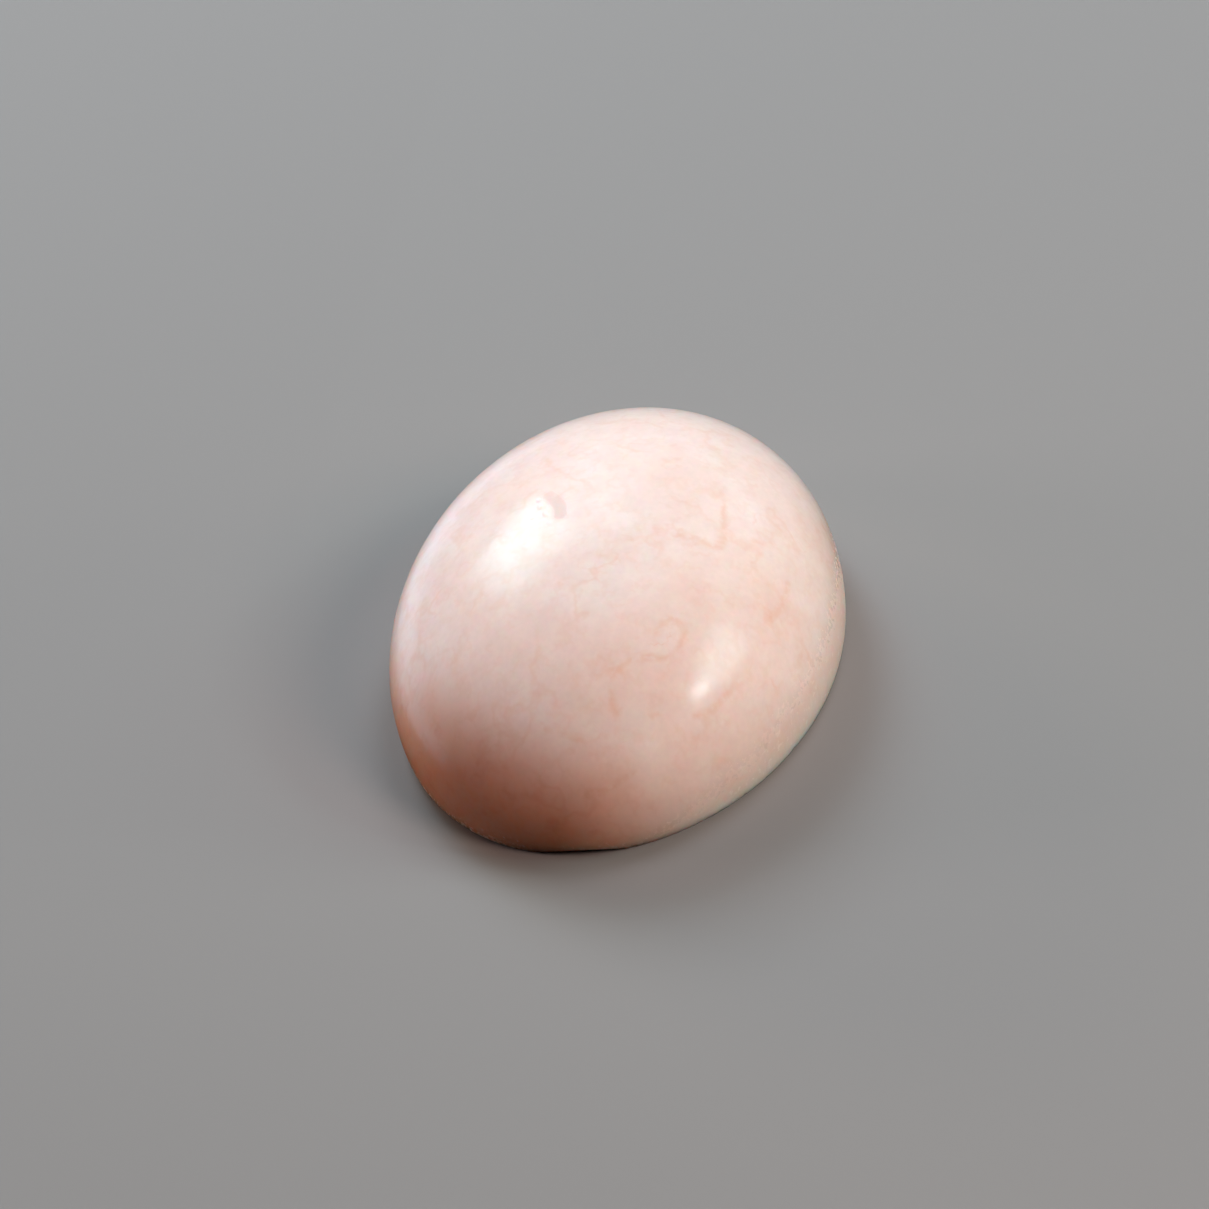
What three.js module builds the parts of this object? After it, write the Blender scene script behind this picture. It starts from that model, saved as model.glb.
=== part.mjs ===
// Oval cabochon of pink opal: a flat ground back, a rolled lower edge and a high smooth dome.
// Millimetres, +Z up. The origin is the centre of the flat back, and the oval's length lies along X.

import * as THREE from 'three';

// Driving dimensions
const LENGTH = 20;
const WIDTH = 15;
const HEIGHT = 7;

// The girdle is the widest line round the stone. The back is the same oval, drawn in a little.
const GIRDLE_HEIGHT = 1.3;
const BACK_TO_GIRDLE = 0.965;

// Fineness of the faceted solid
const SEGMENTS_AROUND = 96;
const LOWER_EDGE_STEPS = 6;
const DOME_STEPS = 24;

const OPAL_PINK = 0xebc9bd;
const POLISHED_ROUGHNESS = 0.2;

// Half section of the stone, drawn with the girdle at radius 1: flat back, rolled edge, dome.
function halfSection() {
  const rolledEdge = new THREE.EllipseCurve(
    BACK_TO_GIRDLE, GIRDLE_HEIGHT,
    1 - BACK_TO_GIRDLE, GIRDLE_HEIGHT,
    -Math.PI / 2, 0,
  );
  const dome = new THREE.EllipseCurve(
    0, GIRDLE_HEIGHT,
    1, HEIGHT - GIRDLE_HEIGHT,
    0, Math.PI / 2,
  );
  const backCentre = new THREE.Vector2(0, 0);
  const top = new THREE.Vector2(0, HEIGHT);
  return [
    backCentre,
    ...rolledEdge.getPoints(LOWER_EDGE_STEPS),
    ...dome.getPoints(DOME_STEPS).slice(1, -1),
    top,
  ];
}

// The section is turned round the upright axis, then stretched from a circle to the oval.
function cabochonGeometry() {
  const geometry = new THREE.LatheGeometry(halfSection(), SEGMENTS_AROUND);
  geometry.rotateX(Math.PI / 2);
  geometry.scale(LENGTH / 2, WIDTH / 2, 1);
  return geometry;
}

const cabochon = new THREE.Mesh(
  cabochonGeometry(),
  new THREE.MeshStandardMaterial({ color: OPAL_PINK, roughness: POLISHED_ROUGHNESS, metalness: 0 }),
);
cabochon.name = 'cabochon';

const gemstone = new THREE.Group();
gemstone.add(cabochon);

export default gemstone;
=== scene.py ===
# %% [markdown]
# # A pink opal cabochon
# A cabochon is a stone that is ground and polished to a smooth dome, with a flat back to set it on.
# This one is common pink opal: milky, a little translucent, with clouds and fine rusty veins inside.
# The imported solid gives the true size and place. This script makes the finished surface around it.

# %% Load the frame
from math import cos, pi, radians, sin
import bpy
import numpy as np
from mathutils import Matrix, Vector


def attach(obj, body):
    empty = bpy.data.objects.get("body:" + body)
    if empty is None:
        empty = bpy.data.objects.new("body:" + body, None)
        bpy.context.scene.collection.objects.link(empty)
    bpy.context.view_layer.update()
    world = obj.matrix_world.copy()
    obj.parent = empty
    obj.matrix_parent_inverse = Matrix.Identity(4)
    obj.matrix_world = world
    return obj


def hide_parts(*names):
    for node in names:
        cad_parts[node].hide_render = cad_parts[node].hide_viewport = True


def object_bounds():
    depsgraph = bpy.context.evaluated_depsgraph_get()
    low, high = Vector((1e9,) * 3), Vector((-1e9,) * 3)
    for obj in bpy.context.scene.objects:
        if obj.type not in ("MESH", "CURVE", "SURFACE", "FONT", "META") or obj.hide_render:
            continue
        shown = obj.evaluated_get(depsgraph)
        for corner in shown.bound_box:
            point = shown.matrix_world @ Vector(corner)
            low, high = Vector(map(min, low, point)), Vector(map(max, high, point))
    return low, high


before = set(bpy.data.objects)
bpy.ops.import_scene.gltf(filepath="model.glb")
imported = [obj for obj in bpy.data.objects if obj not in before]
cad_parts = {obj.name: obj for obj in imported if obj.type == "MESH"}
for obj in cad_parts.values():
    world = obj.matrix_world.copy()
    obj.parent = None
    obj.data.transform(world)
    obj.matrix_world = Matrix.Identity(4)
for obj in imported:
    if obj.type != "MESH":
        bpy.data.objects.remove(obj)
cad_low, cad_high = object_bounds()
MM = 0.001

stone_size = cad_high - cad_low
print("stone, mm:", [round(side / MM, 2) for side in stone_size])

# %% [markdown]
# ## The camera
# A small thing is photographed with a long lens, so that its near side doesn't swell. The camera looks
# down at 37 degrees and is rolled a little about its own axis. Three unit vectors say all of that: the
# picture's right, the picture's up, and the way the camera looks. Building the turn from them is easier
# to follow than three Euler angles, and it also gives the place of the camera.

# %% Camera
PHOTO_SIDE_PX = 1209
PX_PER_MM = 30.3
BACK_CENTRE_PX = (623.9, 668.4)
CAMERA_AZIMUTH = radians(106.8)
CAMERA_ELEVATION = radians(37)
CAMERA_ROLL = radians(11.6)
LENS_MM = 400
SENSOR_MM = 36


def view_axes(azimuth, elevation, roll):
    """Picture right, picture up and looking direction of a camera that circles the stone."""
    level_right = Vector((cos(azimuth), sin(azimuth), 0))
    forward = Vector((-sin(azimuth) * cos(elevation), cos(azimuth) * cos(elevation), -sin(elevation)))
    level_up = level_right.cross(forward)
    right = level_right * cos(roll) - level_up * sin(roll)
    up = level_right * sin(roll) + level_up * cos(roll)
    return right, up, forward


picture_right, picture_up, looking = view_axes(CAMERA_AZIMUTH, CAMERA_ELEVATION, CAMERA_ROLL)
picture_width = PHOTO_SIDE_PX / PX_PER_MM * MM
distance = picture_width * LENS_MM / SENSOR_MM
right_of_middle = (BACK_CENTRE_PX[0] - PHOTO_SIDE_PX / 2) / PX_PER_MM * MM
above_middle = (PHOTO_SIDE_PX / 2 - BACK_CENTRE_PX[1]) / PX_PER_MM * MM
aim = -picture_right * right_of_middle - picture_up * above_middle

camera_data = bpy.data.cameras.new("camera")
camera_data.lens = LENS_MM
camera_data.sensor_width = SENSOR_MM
camera_data.clip_start = 0.01
camera_data.clip_end = 20
camera = bpy.data.objects.new("camera", camera_data)
turn = Matrix((picture_right, picture_up, -looking)).transposed()
camera.matrix_world = Matrix.Translation(aim - looking * distance) @ turn.to_4x4()
bpy.context.scene.collection.objects.link(camera)
bpy.context.scene.camera = camera
print("camera distance, mm:", round(distance / MM), "picture width, mm:", round(picture_width / MM, 1))

# %% [markdown]
# ## Small tools for node trees
# Geometry trees and material trees share the same arithmetic nodes. These helpers add one node, plug
# its inputs and hand back its output, so that a formula in a tree reads almost like a formula in Python.

# %% Node helpers
def plug(tree, value, socket):
    """Link a socket to a socket, or set a plain value on it."""
    if isinstance(value, bpy.types.NodeSocket):
        tree.links.new(value, socket)
    else:
        socket.default_value = value


def calc(tree, operation, *values):
    """A Math node."""
    node = tree.nodes.new("ShaderNodeMath")
    node.operation = operation
    for value, socket in zip(values, node.inputs):
        plug(tree, value, socket)
    return node.outputs[0]


def vector_calc(tree, operation, *values):
    """A Vector Math node. Its last output is the one with a plain number."""
    node = tree.nodes.new("ShaderNodeVectorMath")
    node.operation = operation
    sockets = [node.inputs[0], node.inputs["Scale"]] if operation == "SCALE" else node.inputs
    for value, socket in zip(values, sockets):
        plug(tree, value, socket)
    return node.outputs["Value" if operation in ("DOT_PRODUCT", "LENGTH") else "Vector"]


def join_xyz(tree, x, y, z):
    """A vector from three numbers."""
    node = tree.nodes.new("ShaderNodeCombineXYZ")
    for value, socket in zip((x, y, z), node.inputs):
        plug(tree, value, socket)
    return node.outputs[0]


def fade(tree, value, start, end):
    """0 below start, 1 above end, smooth between. With start above end it falls instead."""
    node = tree.nodes.new("ShaderNodeMapRange")
    node.interpolation_type = "SMOOTHSTEP"
    for name, number in (("Value", value), ("From Min", start), ("From Max", end)):
        plug(tree, number, node.inputs[name])
    return node.outputs["Result"]


def noise(tree, vector, scale, detail=2.0, output="Fac"):
    """A Noise Texture. Scale is in waves per metre where the vector is in metres."""
    node = tree.nodes.new("ShaderNodeTexNoise")
    for name, value in (("Vector", vector), ("Scale", scale), ("Detail", detail)):
        plug(tree, value, node.inputs[name])
    return node.outputs[output]


def new_group(name, kind, inputs, outputs):
    """A node group with named sockets. Returns the tree, its inputs by name and its output node."""
    tree = bpy.data.node_groups.new(name, kind)
    for label, socket_type, value in inputs:
        socket = tree.interface.new_socket(label, in_out="INPUT", socket_type="NodeSocket" + socket_type)
        if value is not None:
            socket.default_value = value
    for label, socket_type in outputs:
        tree.interface.new_socket(label, in_out="OUTPUT", socket_type="NodeSocket" + socket_type)
    start = tree.nodes.new("NodeGroupInput")
    return tree, start.outputs, tree.nodes.new("NodeGroupOutput")


# %% [markdown]
# ## The stone's shape
# A cutter brings a cabochon to shape by rule: one oval, one dome over it, one rolled lower edge. It could
# be modelled by hand or sculpted, but a rule is best kept as a rule, so Geometry Nodes make it. The tree
# takes a plain UV sphere and moves each ring of it to its place on the stone: the first rings cover the
# crown, the next ones the dome, then the rolled edge, and the last ones the flat back.
# Rings lie closest where fine marks will need them, on the crown and on the edge.

# %% Sizes of the cut
GIRDLE_HEIGHT = 1.3 * MM
BACK_SHARE = 0.965
CROWN_ANGLE = radians(22)
RINGS = {"Crown Rings": 60, "Dome Rings": 84, "Edge Rings": 46, "Back Rings": 14}
SEGMENTS = 456

# %% [markdown]
# No hand-ground stone is exact. Its outline wavers by a few hundredths of a millimetre, tiny chips break
# out of the lower edge where the back was ground last, and the toe of this stone has a small worn flat.
# Near the top the polish missed a soft spot: a shallow crease is left there, with a row of pits beside
# it. All of these only take material away, so that the stone stays inside its stated size.

# %% Sizes of the flaws
SEED = 3.0
WAVER = 0.05 * MM
CHIP_DEPTH = 0.035 * MM
WORN_FLAT_DEPTH = 0.13 * MM
WORN_FLAT_HEADING = radians(2)
WORN_FLAT_TILT = radians(51)

# Each pit: centre x and y, heading in degrees, half length, half width, depth (mm)
PITS = {
    "long pit": (0.05, -1.70, 12, 0.22, 0.08, 0.028),
    "upper pit": (-0.35, -1.82, 20, 0.15, 0.08, 0.026),
    "lower pit": (0.48, -1.44, 25, 0.20, 0.07, 0.024),
    "round pit": (0.57, -1.86, 0, 0.10, 0.09, 0.016),
    "last pit": (0.98, -1.20, 30, 0.18, 0.07, 0.012),
}

# The crease falls from its near side to a straight bottom line and climbs out slowly on the far side
CREASE_CENTRE = (-0.05 * MM, -0.84 * MM, 0)
CREASE_HALF_LENGTH = 1.0 * MM
CREASE_NEAR_WIDTH = 0.70 * MM
CREASE_FAR_WIDTH = 1.8 * MM
CREASE_DEPTH = 0.014 * MM

# %% One pit
def pit_group():
    """Geometry Nodes: how deep an oval pit is at a point of the plan."""
    tree, given, result = new_group(
        "Pit",
        "GeometryNodeTree",
        [
            ("Position", "Vector", None),
            ("Centre", "Vector", None),
            ("Heading", "Float", 0.0),
            ("Half Length", "Float", 0.0002),
            ("Half Width", "Float", 0.0001),
            ("Depth", "Float", 0.00002),
        ],
        [("Drop", "Float")],
    )
    away = vector_calc(tree, "SUBTRACT", given["Position"], given["Centre"])
    east = calc(tree, "COSINE", given["Heading"])
    north = calc(tree, "SINE", given["Heading"])
    along = vector_calc(tree, "DOT_PRODUCT", away, join_xyz(tree, east, north, 0.0))
    crosswise = join_xyz(tree, calc(tree, "MULTIPLY", north, -1.0), east, 0.0)
    across = vector_calc(tree, "DOT_PRODUCT", away, crosswise)
    shares = join_xyz(
        tree,
        calc(tree, "DIVIDE", along, given["Half Length"]),
        calc(tree, "DIVIDE", across, given["Half Width"]),
        0.0,
    )
    depth_share = fade(tree, vector_calc(tree, "LENGTH", shares), 1.0, 0.0)
    plug(tree, calc(tree, "MULTIPLY", depth_share, given["Depth"]), result.inputs["Drop"])
    return tree


def place_pit(tree, group, position, x, y, heading, half_length, half_width, depth):
    """Use the Pit group at one spot. Sizes in millimetres, heading in degrees."""
    node = tree.nodes.new("GeometryNodeGroup")
    node.node_tree = group
    plug(tree, position, node.inputs["Position"])
    plug(tree, (x * MM, y * MM, 0.0), node.inputs["Centre"])
    plug(tree, radians(heading), node.inputs["Heading"])
    plug(tree, half_length * MM, node.inputs["Half Length"])
    plug(tree, half_width * MM, node.inputs["Half Width"])
    plug(tree, depth * MM, node.inputs["Depth"])
    return node.outputs["Drop"]


# %% The crease
def crease_drop(tree, position, given):
    """How deep the crease is: two straight slopes that meet in a line along X, fading out at its ends."""
    away = tree.nodes.new("ShaderNodeSeparateXYZ")
    plug(tree, vector_calc(tree, "SUBTRACT", position, given["Crease Centre"]), away.inputs[0])
    near_share = calc(tree, "DIVIDE", away.outputs["Y"], given["Crease Near Width"])
    far_share = calc(tree, "DIVIDE", away.outputs["Y"], given["Crease Far Width"])
    near_slope = calc(tree, "ADD", 1.0, near_share)
    far_slope = calc(tree, "SUBTRACT", 1.0, far_share)
    valley = calc(tree, "MAXIMUM", calc(tree, "MINIMUM", near_slope, far_slope), 0.0)
    from_middle = calc(tree, "ABSOLUTE", away.outputs["X"])
    end_share = calc(tree, "DIVIDE", from_middle, given["Crease Half Length"])
    lasting = fade(tree, end_share, 1.0, 0.4)
    return calc(tree, "MULTIPLY", calc(tree, "MULTIPLY", valley, lasting), given["Crease Depth"])


# %% [markdown]
# The sphere's rings are counted from the top. A ring's number says how far it has come through its own
# zone: crown, dome, rolled edge or back. From these four shares follow the steepness of the dome and the
# roll of the lower edge, and from those the radius and the height of the half section.

# %% The half section
def ring_share(tree, ring, first, count):
    """How far through its own zone a ring is, from 0 to 1."""
    node = tree.nodes.new("ShaderNodeClamp")
    plug(tree, calc(tree, "DIVIDE", calc(tree, "SUBTRACT", ring, first), count), node.inputs["Value"])
    return node.outputs[0]


def ring_shares(tree, given, sphere_height):
    """The shares of crown, dome, edge and back by name, and the number of all rings."""
    to_edge = calc(tree, "ADD", given["Crown Rings"], given["Dome Rings"])
    to_back = calc(tree, "ADD", to_edge, given["Edge Rings"])
    all_rings = calc(tree, "ADD", to_back, given["Back Rings"])
    half_turns = calc(tree, "DIVIDE", calc(tree, "ARCCOSINE", sphere_height), pi)
    ring = calc(tree, "MULTIPLY", half_turns, all_rings)
    shares = {
        "crown": ring_share(tree, ring, 0.0, given["Crown Rings"]),
        "dome": ring_share(tree, ring, given["Crown Rings"], given["Dome Rings"]),
        "edge": ring_share(tree, ring, to_edge, given["Edge Rings"]),
        "back": ring_share(tree, ring, to_back, given["Back Rings"]),
    }
    return shares, all_rings


def half_section(tree, given, on):
    """The share of the girdle's radius, and the height above the back."""
    rest_of_dome = calc(tree, "SUBTRACT", pi / 2, given["Crown Angle"])
    steepness = calc(
        tree, "ADD",
        calc(tree, "MULTIPLY", on["crown"], given["Crown Angle"]),
        calc(tree, "MULTIPLY", on["dome"], rest_of_dome),
    )
    roll = calc(tree, "MULTIPLY", on["edge"], pi / 2)
    drawn_in = calc(
        tree, "MULTIPLY",
        calc(tree, "SUBTRACT", 1.0, given["Back Share"]),
        calc(tree, "SUBTRACT", 1.0, calc(tree, "COSINE", roll)),
    )
    radius = calc(tree, "MULTIPLY", calc(tree, "SINE", steepness), calc(tree, "SUBTRACT", 1.0, drawn_in))
    radius = calc(tree, "MULTIPLY", radius, calc(tree, "SUBTRACT", 1.0, on["back"]))
    dome_height = calc(tree, "SUBTRACT", given["Height"], given["Girdle Height"])
    rest_of_roll = calc(tree, "SUBTRACT", 1.0, calc(tree, "SINE", roll))
    height = calc(
        tree, "ADD",
        calc(tree, "MULTIPLY", dome_height, calc(tree, "COSINE", steepness)),
        calc(tree, "MULTIPLY", given["Girdle Height"], rest_of_roll),
    )
    return radius, height


# %% [markdown]
# Two flaws draw the outline in. The waver is a slow noise on the heading. The chips are a fast noise,
# kept only where it is high, and only close to the edge between the rolled side and the back.
# The worn flat is a sloping plane at the toe: whatever stands out past it is pressed back onto it.

# %% Waver, chips and worn flat
WAVER_WAVES = 1.7
CHIP_WAVES = 22.0


def outline_loss(tree, given, heading, on, half_width):
    """How far the outline is drawn in, as a share of the half width."""
    seeded = vector_calc(tree, "ADD", heading, join_xyz(tree, 0.0, 0.0, given["Seed"]))
    waver = calc(tree, "MULTIPLY", noise(tree, seeded, WAVER_WAVES, 1.0), given["Waver"])
    broken = fade(tree, noise(tree, seeded, CHIP_WAVES, 3.0), 0.54, 0.70)
    near_back_edge = calc(
        tree, "MULTIPLY",
        fade(tree, on["edge"], 0.4, 0.95),
        fade(tree, on["back"], 0.6, 0.0),
    )
    chip = calc(tree, "MULTIPLY", calc(tree, "MULTIPLY", broken, near_back_edge), given["Chip Depth"])
    return calc(tree, "DIVIDE", calc(tree, "ADD", waver, chip), half_width)


def press_to_worn_flat(tree, given, shaped, half_length):
    """Points outside the plane of the worn flat, moved back onto it."""
    tilt_cos = calc(tree, "COSINE", given["Worn Flat Tilt"])
    toe_normal = join_xyz(
        tree,
        calc(tree, "MULTIPLY", tilt_cos, calc(tree, "COSINE", given["Worn Flat Heading"])),
        calc(tree, "MULTIPLY", tilt_cos, calc(tree, "SINE", given["Worn Flat Heading"])),
        calc(tree, "MULTIPLY", calc(tree, "SINE", given["Worn Flat Tilt"]), -1.0),
    )
    toe_reach = calc(tree, "MULTIPLY", calc(tree, "MULTIPLY", half_length, given["Back Share"]), tilt_cos)
    plane = calc(tree, "SUBTRACT", toe_reach, given["Worn Flat Depth"])
    reach = vector_calc(tree, "DOT_PRODUCT", shaped, toe_normal)
    excess = calc(tree, "MAXIMUM", calc(tree, "SUBTRACT", reach, plane), 0.0)
    return vector_calc(tree, "SUBTRACT", shaped, vector_calc(tree, "SCALE", toe_normal, excess))


# %% [markdown]
# Now the tree itself. It takes every size as a named input, lays the sphere's points out on the half
# section, stretches the circle to the oval, and presses crease and pits into the dome. The back below
# them stays flat. It ends with smooth shading, Realize Instances and Set Material.

# %% The cabochon tree
def cabochon_tree():
    """Geometry Nodes: a UV sphere whose rings are laid out over crown, dome, rolled edge and back."""
    tree, given, result = new_group(
        "Cabochon",
        "GeometryNodeTree",
        [
            ("Length", "Float", 0.02),
            ("Width", "Float", 0.015),
            ("Height", "Float", 0.007),
            ("Girdle Height", "Float", 0.0013),
            ("Back Share", "Float", 0.965),
            ("Crown Angle", "Float", 0.4),
            ("Segments", "Int", 64),
            ("Crown Rings", "Int", 8),
            ("Dome Rings", "Int", 12),
            ("Edge Rings", "Int", 6),
            ("Back Rings", "Int", 4),
            ("Waver", "Float", 0.0),
            ("Chip Depth", "Float", 0.0),
            ("Crease Centre", "Vector", None),
            ("Crease Half Length", "Float", 0.001),
            ("Crease Near Width", "Float", 0.001),
            ("Crease Far Width", "Float", 0.001),
            ("Crease Depth", "Float", 0.0),
            ("Worn Flat Depth", "Float", 0.0),
            ("Worn Flat Heading", "Float", 0.0),
            ("Worn Flat Tilt", "Float", 0.9),
            ("Seed", "Float", 0.0),
            ("Material", "Material", None),
        ],
        [("Geometry", "Geometry")],
    )
    half_length = calc(tree, "MULTIPLY", given["Length"], 0.5)
    half_width = calc(tree, "MULTIPLY", given["Width"], 0.5)
    position = tree.nodes.new("GeometryNodeInputPosition").outputs[0]
    place = tree.nodes.new("ShaderNodeSeparateXYZ")
    plug(tree, position, place.inputs[0])
    heading = vector_calc(tree, "NORMALIZE", vector_calc(tree, "MULTIPLY", position, (1, 1, 0)))
    on, all_rings = ring_shares(tree, given, place.outputs["Z"])
    radius, height = half_section(tree, given, on)

    # Draw the outline in and stretch the circle to the oval
    loss = outline_loss(tree, given, heading, on, half_width)
    radius = calc(tree, "MULTIPLY", radius, calc(tree, "SUBTRACT", 1.0, loss))
    across = vector_calc(tree, "SCALE", heading, radius)
    flat = vector_calc(tree, "MULTIPLY", across, join_xyz(tree, half_length, half_width, 0.0))

    # Press the crease and the pits in, everywhere but on the lower edge and the back
    drop = crease_drop(tree, flat, given)
    pit = pit_group()
    for sizes in PITS.values():
        drop = calc(tree, "ADD", drop, place_pit(tree, pit, flat, *sizes))
    drop = calc(tree, "MULTIPLY", drop, calc(tree, "SUBTRACT", 1.0, on["edge"]))
    height = calc(tree, "SUBTRACT", height, drop)
    shaped = vector_calc(tree, "ADD", flat, join_xyz(tree, 0.0, 0.0, height))
    worn = press_to_worn_flat(tree, given, shaped, half_length)

    sphere = tree.nodes.new("GeometryNodeMeshUVSphere")
    moved = tree.nodes.new("GeometryNodeSetPosition")
    smooth = tree.nodes.new("GeometryNodeSetShadeSmooth")
    realized = tree.nodes.new("GeometryNodeRealizeInstances")
    painted = tree.nodes.new("GeometryNodeSetMaterial")
    plug(tree, given["Segments"], sphere.inputs["Segments"])
    plug(tree, all_rings, sphere.inputs["Rings"])
    plug(tree, sphere.outputs["Mesh"], moved.inputs["Geometry"])
    plug(tree, worn, moved.inputs["Position"])
    plug(tree, moved.outputs[0], smooth.inputs["Geometry"])
    plug(tree, smooth.outputs[0], realized.inputs["Geometry"])
    plug(tree, realized.outputs[0], painted.inputs["Geometry"])
    plug(tree, given["Material"], painted.inputs["Material"])
    plug(tree, painted.outputs[0], result.inputs["Geometry"])
    print("cabochon tree:", len(tree.nodes), "nodes,", len(PITS), "pits")
    return tree


# %% [markdown]
# ## Effects inside and on the stone
# Each effect is a shader node group with named inputs, so that it can be tuned without looking inside.
# They all read Object coordinates in metres: the pattern then runs through the stone as the real one
# does, with no seam and no stretching, and sizes can be typed in real millimetres.

# %% Milky clouds
def clouds_group():
    """Soft patches of one size. The mask is 1 inside a patch."""
    tree, given, result = new_group(
        "Milky clouds",
        "ShaderNodeTree",
        [
            ("Vector", "Vector", None),
            ("Size", "Float", 0.003),
            ("Detail", "Float", 2.5),
            ("Start", "Float", 0.45),
            ("Full", "Float", 0.65),
            ("Seed", "Float", 0.0),
        ],
        [("Mask", "Float")],
    )
    offset = vector_calc(tree, "ADD", given["Vector"], join_xyz(tree, given["Seed"], 0.0, 0.0))
    waves = calc(tree, "DIVIDE", 1.0, given["Size"])
    cloud = noise(tree, offset, waves, given["Detail"])
    plug(tree, fade(tree, cloud, given["Start"], given["Full"]), result.inputs["Mask"])
    return tree


# %% [markdown]
# The body colour isn't the same from end to end. Towards one end, low down on the shaded side, the
# stone is painted from pink to a deep amber: this is painted shade, the dark warm glow of that side put
# into the colour. A plain slope through the stone does this, made uneven by a slow noise.

# %% Painted shade zone
ZONE_WAVES_PER_M = 260.0


def painted_shade_zone_group():
    """The mask grows from 0 to 1 along a direction, between two distances from the origin."""
    tree, given, result = new_group(
        "Painted shade zone",
        "ShaderNodeTree",
        [
            ("Vector", "Vector", None),
            ("Direction", "Vector", (1.0, 0.0, 0.0)),
            ("Start", "Float", 0.0),
            ("Full", "Float", 0.006),
            ("Unevenness", "Float", 0.002),
        ],
        [("Mask", "Float")],
    )
    distance = vector_calc(tree, "DOT_PRODUCT", given["Vector"], given["Direction"])
    wave = calc(tree, "SUBTRACT", noise(tree, given["Vector"], ZONE_WAVES_PER_M, 3.0), 0.5)
    uneven = calc(tree, "ADD", distance, calc(tree, "MULTIPLY", wave, given["Unevenness"]))
    plug(tree, fade(tree, uneven, given["Start"], given["Full"]), result.inputs["Mask"])
    return tree


# %% [markdown]
# Rusty wisps are healed cracks and threads stained by iron. Where a noise passes through its middle value
# it makes a thin winding sheet, and the stone's surface cuts that sheet in a winding line. A second noise
# keeps only parts of the line, so that short strokes are left. Their edges are soft, because the stain
# lies a little under the surface.

# %% Rusty wisps
def wisps_group():
    """Short winding strokes. The mask is 1 in the middle of a stroke."""
    tree, given, result = new_group(
        "Rusty wisps",
        "ShaderNodeTree",
        [
            ("Vector", "Vector", None),
            ("Size", "Float", 0.002),
            ("Thickness", "Float", 0.03),
            ("Stroke Length", "Float", 0.002),
            ("Spread", "Float", 0.5),
            ("Seed", "Float", 0.0),
        ],
        [("Mask", "Float")],
    )
    offset = vector_calc(tree, "ADD", given["Vector"], join_xyz(tree, 0.0, given["Seed"], 0.0))
    sheet = noise(tree, offset, calc(tree, "DIVIDE", 1.0, given["Size"]), 3.0)
    from_sheet = calc(tree, "ABSOLUTE", calc(tree, "SUBTRACT", sheet, 0.5))
    line = fade(tree, from_sheet, given["Thickness"], 0.0)
    stretches = noise(tree, offset, calc(tree, "DIVIDE", 1.0, given["Stroke Length"]), 2.0)
    present = fade(tree, stretches, given["Spread"], calc(tree, "ADD", given["Spread"], 0.12))
    plug(tree, calc(tree, "MULTIPLY", line, present), result.inputs["Mask"])
    return tree


# %% [markdown]
# Some threads, pale streaks and one thin line of painted highlight are large enough to be told apart, so
# their courses are drawn later and stored on the mesh. What is stored is the way from the nearest point
# of the course, measured in half widths. It passes evenly through zero on the course, so even a thread
# that is finer than the mesh stays sharp. Here its length becomes a mask. One noise bends the course,
# another leaves gaps in it.

# %% Drawn courses
def drawn_group():
    """The mask is 1 on a drawn course and fades out to its sides. Wander is in half widths."""
    tree, given, result = new_group(
        "Drawn courses",
        "ShaderNodeTree",
        [
            ("Vector", "Vector", None),
            ("Offset", "Vector", None),
            ("Wander", "Float", 2.0),
            ("Grain", "Float", 0.0006),
        ],
        [("Mask", "Float")],
    )
    waves = calc(tree, "DIVIDE", 1.0, given["Grain"])
    three_waves = noise(tree, given["Vector"], waves, 3.0, "Color")
    swirl = vector_calc(tree, "SUBTRACT", three_waves, (0.5, 0.5, 0.5))
    bent = vector_calc(tree, "ADD", given["Offset"], vector_calc(tree, "SCALE", swirl, given["Wander"]))
    line = fade(tree, vector_calc(tree, "LENGTH", bent), 1.3, 0.0)
    gap_waves = calc(tree, "MULTIPLY", waves, 1.7)
    unbroken = fade(tree, noise(tree, given["Vector"], gap_waves, 2.0), 0.28, 0.55)
    plug(tree, calc(tree, "MULTIPLY", line, unbroken), result.inputs["Mask"])
    return tree


# %% [markdown]
# The dome is polished, but the lower edge and the back are only ground. That band is a little paler,
# duller and finely scratched. It isn't equally high all round: the polisher tipped the stone, so on one
# long side the band climbs past the girdle. A height that rises across the stone says that. A slow noise
# makes its upper limit uneven, and a fine one breaks the limit up into grains, as the grit left it.
# A sharp limit would also show as a thin bright line where polish and matt meet.

# %% Ground band
BAND_WAVES_PER_M = 500.0


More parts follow.
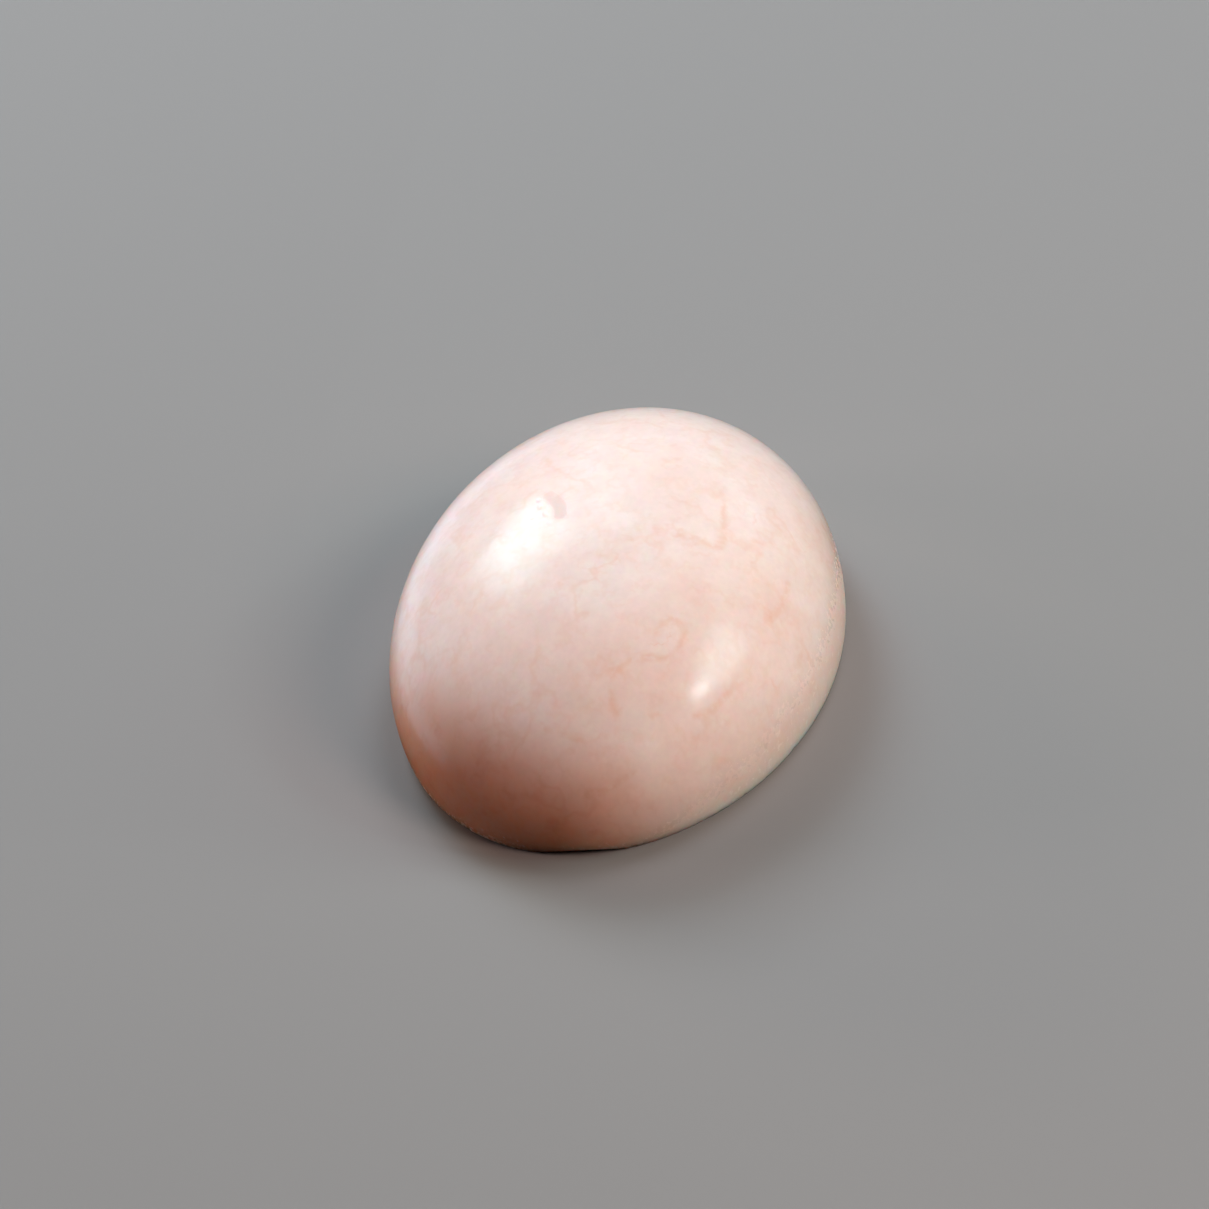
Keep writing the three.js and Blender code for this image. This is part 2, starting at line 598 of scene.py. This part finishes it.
def ground_band_group():
    """The mask is 1 where the stone is ground but not polished, near and on the back."""
    tree, given, result = new_group(
        "Ground band",
        "ShaderNodeTree",
        [
            ("Vector", "Vector", None),
            ("Least Height", "Float", 0.0004),
            ("Middle Height", "Float", -0.0008),
            ("Rise Across", "Float", 0.36),
            ("Softness", "Float", 0.0008),
            ("Unevenness", "Float", 0.0005),
            ("Grain", "Float", 0.00015),
            ("Granularity", "Float", 0.002),
        ],
        [("Mask", "Float")],
    )
    place = tree.nodes.new("ShaderNodeSeparateXYZ")
    plug(tree, given["Vector"], place.inputs[0])
    rise = calc(tree, "MULTIPLY", place.outputs["Y"], given["Rise Across"])
    climbing = calc(tree, "ADD", given["Middle Height"], rise)
    wave = calc(tree, "SUBTRACT", noise(tree, given["Vector"], BAND_WAVES_PER_M, 2.0), 0.5)
    grit_waves = calc(tree, "DIVIDE", 1.0, given["Grain"])
    grit = calc(tree, "SUBTRACT", noise(tree, given["Vector"], grit_waves, 3.0), 0.5)
    limit = calc(
        tree, "ADD",
        calc(tree, "MAXIMUM", climbing, given["Least Height"]),
        calc(tree, "MULTIPLY", wave, given["Unevenness"]),
    )
    limit = calc(tree, "ADD", limit, calc(tree, "MULTIPLY", grit, given["Granularity"]))
    top = calc(tree, "ADD", limit, calc(tree, "MULTIPLY", given["Softness"], 0.5))
    bottom = calc(tree, "SUBTRACT", limit, calc(tree, "MULTIPLY", given["Softness"], 0.5))
    plug(tree, fade(tree, place.outputs["Z"], top, bottom), result.inputs["Mask"])
    return tree


# %% Grinding scratches
def scratches_group():
    """Fine strokes of one direction. Stretch is how many times longer than wide, along each axis."""
    tree, given, result = new_group(
        "Grinding scratches",
        "ShaderNodeTree",
        [
            ("Vector", "Vector", None),
            ("Spacing", "Float", 0.0001),
            ("Stretch", "Vector", (1.0, 1.0, 8.0)),
            ("Seed", "Float", 0.0),
        ],
        [("Height", "Float")],
    )
    squeezed = vector_calc(tree, "DIVIDE", given["Vector"], given["Stretch"])
    offset = vector_calc(tree, "ADD", squeezed, join_xyz(tree, 0.0, 0.0, given["Seed"]))
    waves = calc(tree, "DIVIDE", 1.0, given["Spacing"])
    plug(tree, noise(tree, offset, waves, 2.0), result.inputs["Height"])
    return tree


# %% [markdown]
# ## The pink opal
# Light enters opal, scatters and leaves again somewhere else, red light further off than blue. That is
# what subsurface scattering is for: it makes the shaded side glow warm instead of going grey. The deep
# amber low on the shaded end is also painted shade in the colour. The scattering numbers are the same
# all over the stone, so they are typed on the shader itself. Only the colour, the gloss and the relief
# vary, and those come from masks.

# %% Helpers for the material
def place_group(tree, group, **values):
    """Put a group in a material and set or link its inputs by name."""
    node = tree.nodes.new("ShaderNodeGroup")
    node.node_tree = group
    for name, value in values.items():
        plug(tree, value, node.inputs[name.replace("_", " ")])
    return node.outputs[0]


def mix_colour(tree, share, first, second):
    """Blend two colours by a mask."""
    node = tree.nodes.new("ShaderNodeMix")
    node.data_type = "RGBA"
    colour_inputs = [socket for socket in node.inputs if socket.type == "RGBA"]
    plug(tree, share, node.inputs["Factor"])
    plug(tree, first, colour_inputs[0])
    plug(tree, second, colour_inputs[1])
    return next(socket for socket in node.outputs if socket.type == "RGBA")


def stored_vector(tree, name):
    """A vector that is stored on the mesh."""
    node = tree.nodes.new("ShaderNodeAttribute")
    node.attribute_name = name
    return node.outputs["Vector"]


# %% [markdown]
# The same two or three groups give most of the masks, each time with another size and seed. Large clouds
# are drifts and milk, small ones are mottle and grains, and the smallest, kept to the ground band, are
# the bruises that the grit left. The soft spot near the top is a drawn course too, but a wide one: only
# its edge is made noisy.

# %% Masks of the opal
def soft_spot_mask(tree, vector):
    """1 inside the soft spot by the pits, with an edge that is a little rough."""
    wave = calc(tree, "SUBTRACT", noise(tree, vector, 4000.0, 3.0), 0.5)
    away = vector_calc(tree, "LENGTH", stored_vector(tree, "soft_spot_offset"))
    return fade(tree, calc(tree, "ADD", away, wave), 1.3, 0.85)


def opal_masks(tree, vector):
    """All masks that colour and gloss are made with, by name."""
    clouds = clouds_group()
    wisps = wisps_group()
    drawn = drawn_group()
    thread_way = stored_vector(tree, "thread_offset")
    pale_mark_and_highlight_way = stored_vector(tree, "pale_mark_and_highlight_offset")
    masks = {
        "drift": place_group(tree, clouds, Size=0.009, Start=0.35, Full=0.7, Seed=0.31),
        "milk": place_group(tree, clouds, Size=0.0036, Detail=4.0, Start=0.42, Full=0.68, Seed=0.12),
        "mottle": place_group(tree, clouds, Size=0.0009, Detail=6.0, Start=0.3, Full=0.7, Seed=0.53),
        "grains": place_group(tree, clouds, Size=0.00022, Detail=2.0, Start=0.3, Full=0.7, Seed=0.77),
        "bruises": place_group(tree, clouds, Size=0.00022, Detail=4.0, Start=0.58, Full=0.70, Seed=0.41),
        # Pale streaks, and with them one thin line of painted highlight
        "pale marks and painted highlight": place_group(tree, drawn, Offset=pale_mark_and_highlight_way, Wander=2.0, Grain=0.0014),
        "threads": place_group(tree, drawn, Offset=thread_way, Wander=2.6, Grain=0.0006),
        "broad wisps": place_group(
            tree, wisps, Size=0.0017, Thickness=0.055, Stroke_Length=0.0016, Spread=0.47, Seed=0.2,
        ),
        "fine wisps": place_group(
            tree, wisps, Size=0.0006, Thickness=0.11, Stroke_Length=0.0007, Spread=0.46, Seed=0.7,
        ),
        # Painted shade: the mask of the deep amber at the low, shaded end
        "painted warm shade": place_group(
            tree, painted_shade_zone_group(),
            Direction=(0.68, -0.50, -0.66), Start=0.0024, Full=0.0069, Unevenness=0.0016,
        ),
        "band": place_group(
            tree, ground_band_group(),
            Least_Height=0.0, Middle_Height=-0.0007, Rise_Across=0.36, Softness=0.0012,
            Unevenness=0.0010, Grain=0.00016, Granularity=0.0024,
        ),
    }
    for mask in masks.values():
        plug(tree, vector, mask.node.inputs["Vector"])
    masks["bruises"] = calc(tree, "MULTIPLY", masks["bruises"], masks["band"])
    masks["soft spot"] = soft_spot_mask(tree, vector)
    return masks


# %% [markdown]
# The colour is built up like a watercolour, wash over wash. Each wash has a mask and a share, which says
# how much of its colour shows where the mask is 1. The stains of iron come between the body's own washes
# and those of the surface, and they are redder and darker where the amber shade is painted than in the
# pink.

# %% Colours of the opal
PALE_PINK = (0.87, 0.66, 0.60, 1)
PEACH = (0.87, 0.64, 0.56, 1)
MILK = (0.91, 0.76, 0.71, 1)
# Painted shade: the deep amber of the low, shaded end
PAINTED_SHADE_AMBER = (0.72, 0.26, 0.115, 1)
ROSE = (0.70, 0.44, 0.37, 1)
SHADE = (0.60, 0.46, 0.42, 1)
RUST = (0.78, 0.41, 0.26, 1)
# Rust as it is painted inside the amber shade, darker and redder
RUST_IN_PAINTED_SHADE = (0.56, 0.17, 0.09, 1)
CHALK = (0.87, 0.59, 0.50, 1)
BRUISE = (0.97, 0.75, 0.68, 1)

BODY_WASHES = [
    ("milk", 0.52, MILK),
    # Pale streaks in the milk colour, and with them a thin painted highlight
    ("pale marks and painted highlight", 0.5, MILK),
    # Painted shade: the low, shaded end is painted deep amber
    ("painted warm shade", 0.9, PAINTED_SHADE_AMBER),
    ("mottle", 0.17, ROSE),
    ("grains", 0.10, SHADE),
]
STAINS = [("broad wisps", 0.20), ("fine wisps", 0.13), ("threads", 0.38)]
# The rose wash in the soft spot is painted shade: the dulled crease is coloured darker where the
# highlight breaks off
SURFACE_WASHES = [("band", 0.40, CHALK), ("bruises", 0.8, BRUISE), ("soft spot", 0.42, ROSE)]


def opal_colour(tree, masks):
    """The colour of the stone, wash over wash."""
    stain = mix_colour(tree, masks["painted warm shade"], RUST, RUST_IN_PAINTED_SHADE)
    stain_washes = [(name, share, stain) for name, share in STAINS]
    colour = mix_colour(tree, masks["drift"], PALE_PINK, PEACH)
    for name, share, wash in BODY_WASHES + stain_washes + SURFACE_WASHES:
        colour = mix_colour(tree, calc(tree, "MULTIPLY", masks[name], share), colour, wash)
    return colour


# %% [markdown]
# Where the stone is only ground, the gloss is lower and fine scratches catch the light. The scratches are
# far too small for the mesh, so they alone are a bump. The soft spot took less polish too.

# %% Finish of the opal
POLISHED = 0.21
GROUND = 0.42
DULL = 0.46
SCRATCH_RELIEF = 0.02 * MM
REFRACTION = 1.45
SCATTER_REACH = 1.6 * MM
SCATTER_BY_COLOUR = (1.0, 0.35, 0.22)


def opal_gloss(tree, masks):
    """Roughness: polished, but duller in the ground band and in the soft spot."""
    in_band = calc(tree, "MULTIPLY", masks["band"], GROUND - POLISHED)
    in_spot = calc(tree, "MULTIPLY", masks["soft spot"], DULL - POLISHED)
    return calc(tree, "ADD", calc(tree, "ADD", POLISHED, in_band), in_spot)


def pink_opal_material():
    """The whole finish of the stone."""
    material = bpy.data.materials.new("polished_pink_opal")
    material.use_nodes = True
    tree = material.node_tree
    shader = tree.nodes["Principled BSDF"]
    vector = tree.nodes.new("ShaderNodeTexCoord").outputs["Object"]
    masks = opal_masks(tree, vector)
    plug(tree, opal_colour(tree, masks), shader.inputs["Base Color"])
    plug(tree, opal_gloss(tree, masks), shader.inputs["Roughness"])

    strokes = place_group(
        tree, scratches_group(), Vector=vector, Spacing=0.00012, Stretch=(1, 1, 7), Seed=0.05,
    )
    bump = tree.nodes.new("ShaderNodeBump")
    bump.inputs["Strength"].default_value = 1.0
    bump.inputs["Distance"].default_value = SCRATCH_RELIEF
    plug(tree, calc(tree, "MULTIPLY", strokes, masks["band"]), bump.inputs["Height"])
    plug(tree, bump.outputs[0], shader.inputs["Normal"])

    shader.subsurface_method = "RANDOM_WALK"
    shader.inputs["IOR"].default_value = REFRACTION
    shader.inputs["Subsurface Weight"].default_value = 1.0
    shader.inputs["Subsurface Radius"].default_value = SCATTER_BY_COLOUR
    shader.inputs["Subsurface Scale"].default_value = SCATTER_REACH
    print("opal material:", len(masks), "masks,", len(tree.nodes), "nodes")
    return material


pink_opal = pink_opal_material()

# %% [markdown]
# ## Making the stone
# The tree is set going on an empty mesh. Its inputs are set by each socket's identifier, because a
# modifier doesn't know them by name. The evaluated result is then kept as a plain mesh, so nothing is
# left to compute later.

# %% Run the tree
def run_tree(tree, values):
    """Evaluate a Geometry Nodes tree with the given inputs and return the result as a plain mesh."""
    maker = bpy.data.objects.new("maker", bpy.data.meshes.new("maker"))
    bpy.context.scene.collection.objects.link(maker)
    modifier = maker.modifiers.new("Shape", "NODES")
    modifier.node_group = tree
    for item in tree.interface.items_tree:
        if item.in_out == "INPUT" and item.name in values:
            modifier[item.identifier] = values[item.name]
    depsgraph = bpy.context.evaluated_depsgraph_get()
    mesh = bpy.data.meshes.new_from_object(maker.evaluated_get(depsgraph))
    bpy.data.objects.remove(maker)
    # A mesh made by nodes starts with an empty material slot, which isn't wanted
    mesh.materials.clear()
    mesh.materials.append(values["Material"])
    return mesh


stone_mesh = run_tree(
    cabochon_tree(),
    {
        "Length": stone_size.x,
        "Width": stone_size.y,
        "Height": stone_size.z,
        "Girdle Height": GIRDLE_HEIGHT,
        "Back Share": BACK_SHARE,
        "Crown Angle": CROWN_ANGLE,
        "Segments": SEGMENTS,
        **RINGS,
        "Waver": WAVER,
        "Chip Depth": CHIP_DEPTH,
        "Crease Centre": CREASE_CENTRE,
        "Crease Half Length": CREASE_HALF_LENGTH,
        "Crease Near Width": CREASE_NEAR_WIDTH,
        "Crease Far Width": CREASE_FAR_WIDTH,
        "Crease Depth": CREASE_DEPTH,
        "Worn Flat Depth": WORN_FLAT_DEPTH,
        "Worn Flat Heading": WORN_FLAT_HEADING,
        "Worn Flat Tilt": WORN_FLAT_TILT,
        "Seed": SEED,
        "Material": pink_opal,
    },
)
stone_mesh.name = "polished_stone"

# %% [markdown]
# The courses are drawn on the plan of the stone, in millimetres, as a few points each. They are rounded
# off, lifted onto the dome, and every vertex is told its way from the nearest one. There are three
# kinds: rusty threads; pale streaks, with a bruise on the edge and one thin line of painted highlight;
# and the one soft spot, each under a name of its own on the mesh.

# %% Courses of the threads, the pale streaks and the painted highlight
# Each course: half width, then its points (x, y), in millimetres
THREADS = {
    "hook": (0.21, [(1.1, 3.1), (1.2, 3.8), (1.2, 4.3), (0.5, 4.4), (-0.2, 4.3), (-0.8, 4.2)]),
    "arch": (0.19, [(5.2, 2.9), (4.8, 3.1), (4.6, 3.4), (4.9, 3.7), (5.3, 3.7), (5.8, 3.6)]),
    "long thread": (
        0.18,
        [(5.8, 3.6), (6.1, 2.9), (6.3, 2.3), (6.7, 1.9), (6.9, 1.6), (7.4, 1.6), (7.9, 1.9)],
    ),
    "side thread": (0.18, [(1.1, 6.4), (1.6, 6.4), (2.2, 6.3), (2.8, 6.1)]),
    "low thread": (0.20, [(5.5, 5.4), (6.2, 5.0), (6.7, 4.7), (7.1, 4.3)]),
    "toe thread": (0.13, [(8.4, -0.6), (8.6, 0.0), (8.7, 0.7)]),
    "red toe thread": (0.20, [(9.7, 0.9), (9.5, 1.6), (9.1, 2.3)]),
}
SOFT_SPOT = {
    "soft spot": (0.22, [(-0.55, -1.50), (-0.25, -1.22), (0.15, -1.00), (0.60, -0.88)]),
}
PALE_MARKS_AND_PAINTED_HIGHLIGHT = {
    "side streak": (0.55, [(-3.5, 3.0), (-2.9, 3.8), (-2.0, 4.5), (-1.0, 5.0), (0.3, 5.4)]),
    # A thin pale line of painted highlight
    "painted highlight line": (0.13, [(5.4, 5.45), (6.0, 5.24), (6.6, 5.02), (7.1, 4.83), (7.5, 4.62)]),
    "edge bruise": (0.11, [(-2.66, 7.22), (-2.54, 7.24)]),
}

# %% The way from the nearest course
def rounded_course(points, steps=6):
    """A Catmull-Rom curve through the points, lifted onto the dome."""
    ends = [points[0], *points, points[-1]]
    plan = []
    for a, b, c, d in zip(ends, ends[1:], ends[2:], ends[3:]):
        a, b, c, d = (np.array(point, float) * MM for point in (a, b, c, d))
        for t in np.arange(steps) / steps:
            bend = (2 * a - 5 * b + 4 * c - d) * t**2
            twist = (3 * b - a - 3 * c + d) * t**3
            plan.append(0.5 * (2 * b + (c - a) * t + bend + twist))
    plan = np.array([*plan, np.array(points[-1]) * MM])
    shares = plan / np.array([stone_size.x, stone_size.y]) * 2
    lift = np.sqrt(np.clip(1 - (shares**2).sum(axis=1), 0, 1))
    height = GIRDLE_HEIGHT + (stone_size.z - GIRDLE_HEIGHT) * lift
    return np.column_stack([plan, height])


def offsets_from_courses(places, courses):
    """For each place, the way from the nearest course, in half widths of that course."""
    nearest = np.full(len(places), np.inf)
    offsets = np.zeros_like(places)
    for half_width, points in courses.values():
        line = rounded_course(points)
        for start, end in zip(line, line[1:]):
            way = end - start
            share = np.clip((places - start) @ way / (way @ way), 0, 1)
            offset = (places - start - share[:, None] * way) / (half_width * MM)
            away = np.linalg.norm(offset, axis=1)
            closer = away < nearest
            nearest[closer] = away[closer]
            offsets[closer] = offset[closer]
    return offsets


# %% Store the courses on the stone
places = np.zeros(len(stone_mesh.vertices) * 3)
stone_mesh.vertices.foreach_get("co", places)
places = places.reshape(-1, 3)
drawn_courses = {"thread_offset": THREADS, "pale_mark_and_highlight_offset": PALE_MARKS_AND_PAINTED_HIGHLIGHT, "soft_spot_offset": SOFT_SPOT}
for attribute_name, courses in drawn_courses.items():
    stored = stone_mesh.attributes.new(attribute_name, "FLOAT_VECTOR", "POINT")
    stored.data.foreach_set("vector", offsets_from_courses(places, courses).ravel())
    print(attribute_name, "stored for", len(courses), "courses")

# %% The stone as an object
polished_stone = bpy.data.objects.new("polished_stone", stone_mesh)
bpy.context.scene.collection.objects.link(polished_stone)
stone_mesh.calc_loop_triangles()
print("stone mesh:", len(stone_mesh.vertices), "vertices,", len(stone_mesh.loop_triangles), "triangles")

# %% [markdown]
# ## Floor and light
# A plain pale floor and a few soft lights, as in a small studio. The floor takes the stone's shadow, but
# it throws no light back and doesn't show in the polish, so that the stone keeps its own colour. A
# polished stone shows what stands round it, so a cool card lies beside its left side and gives that rim
# a sheen. Only reflections see the card.

# %% Floor and card
FLOOR_SIDE = 6.0
FLOOR_GREY = (0.26, 0.225, 0.21, 1)
CARD_BLUE = (0.36, 0.42, 0.52, 1)
PAPER_ROUGHNESS = 0.9


def lay_sheet(name, x_span, y_span, height, colour):
    """A flat rectangular sheet of paper that belongs to the stage."""
    corners = [(x_span[i], y_span[j], height) for i, j in ((0, 0), (1, 0), (1, 1), (0, 1))]
    mesh = bpy.data.meshes.new(name)
    mesh.from_pydata(corners, [], [(0, 1, 2, 3)])
    sheet = bpy.data.objects.new(name, mesh)
    bpy.context.scene.collection.objects.link(sheet)
    paper = bpy.data.materials.new(name)
    paper.use_nodes = True
    shader = paper.node_tree.nodes["Principled BSDF"]
    shader.inputs["Base Color"].default_value = colour
    shader.inputs["Roughness"].default_value = PAPER_ROUGHNESS
    mesh.materials.append(paper)
    sheet.visible_diffuse = False
    sheet.visible_transmission = False
    return sheet


half = FLOOR_SIDE / 2
floor = lay_sheet("floor", (-half, half), (-half, half), 0.0, FLOOR_GREY)
floor.visible_glossy = False
card = lay_sheet("card", (-0.05, 0.008), (-0.10, -0.0125), 0.0001, CARD_BLUE)
card.visible_camera = False
card.visible_shadow = False
print("floor side, m:", FLOOR_SIDE)

# %% [markdown]
# The lights are of two kinds. The first five also show in the polish: a window with a softer skirt round
# it makes the large highlight, a high panel the veil beside it, and a side panel with a small spot in it
# the second highlight. The others only light the stone, from high up and from low down on each side,
# because light that scatters inside needs no sharp shape. They are cool on the window's side, and warm
# low down and on the right.

# %% Lights
LIGHT_DISTANCE = 0.25


def softbox(name, azimuth, elevation, width, depth, watts, colour, reflected=False):
    """An area light that faces the stone from a compass direction, at a height in degrees."""
    light = bpy.data.lights.new(name, "AREA")
    light.shape = "RECTANGLE"
    light.size = width
    light.size_y = depth
    light.energy = watts
    light.color = colour
    lamp = bpy.data.objects.new(name, light)
    a, e = radians(azimuth), radians(elevation)
    towards = Vector((sin(a) * cos(e), -cos(a) * cos(e), sin(e)))
    lamp.location = towards * LIGHT_DISTANCE
    lamp.visible_glossy = reflected
    lamp.rotation_mode = "QUATERNION"
    lamp.rotation_quaternion = towards.to_track_quat("Z", "Y")
    bpy.context.scene.collection.objects.link(lamp)
    return lamp


softbox("window", -52, 38, 0.078, 0.085, 0.08, (0.5, 0.94, 1.0), reflected=True)
softbox("window_skirt", -49, 39, 0.11, 0.12, 0.11, (0.5, 0.94, 1.0), reflected=True)
softbox("high_panel", -75, 37, 0.08, 0.11, 0.031, (0.85, 0.95, 1.0), reflected=True)
softbox("side_panel", -171, 34, 0.08, 0.095, 0.152, (0.64, 0.98, 1.0), reflected=True)
softbox("side_spot", 171, 35, 0.019, 0.028, 0.064, (0.74, 0.98, 1.0), reflected=True)
softbox("overhead", -120, 62, 0.10, 0.10, 0.266, (0.76, 0.88, 1.0))
softbox("left_high", -60, 36, 0.08, 0.08, 0.41, (0.67, 0.81, 1.0))
softbox("left_low", -40, 12, 0.08, 0.06, 0.242, (1.0, 0.80, 0.60))
softbox("front", 0, 12, 0.08, 0.06, 0.205, (1.0, 0.89, 0.92))
softbox("right_high", 150, 36, 0.08, 0.08, 0.303, (1.0, 0.80, 0.72))
softbox("right_low", 180, 12, 0.08, 0.06, 0.09, (1.0, 0.91, 0.75))

world = bpy.data.worlds.new("studio")
bpy.context.scene.world = world
world.use_nodes = True
world.node_tree.nodes["Background"].inputs["Strength"].default_value = 0.0
bpy.context.scene.view_settings.view_transform = "Standard"
print("lights:", len(bpy.data.lights))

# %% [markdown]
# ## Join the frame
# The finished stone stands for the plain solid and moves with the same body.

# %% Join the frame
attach(polished_stone, "root")
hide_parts("cabochon")
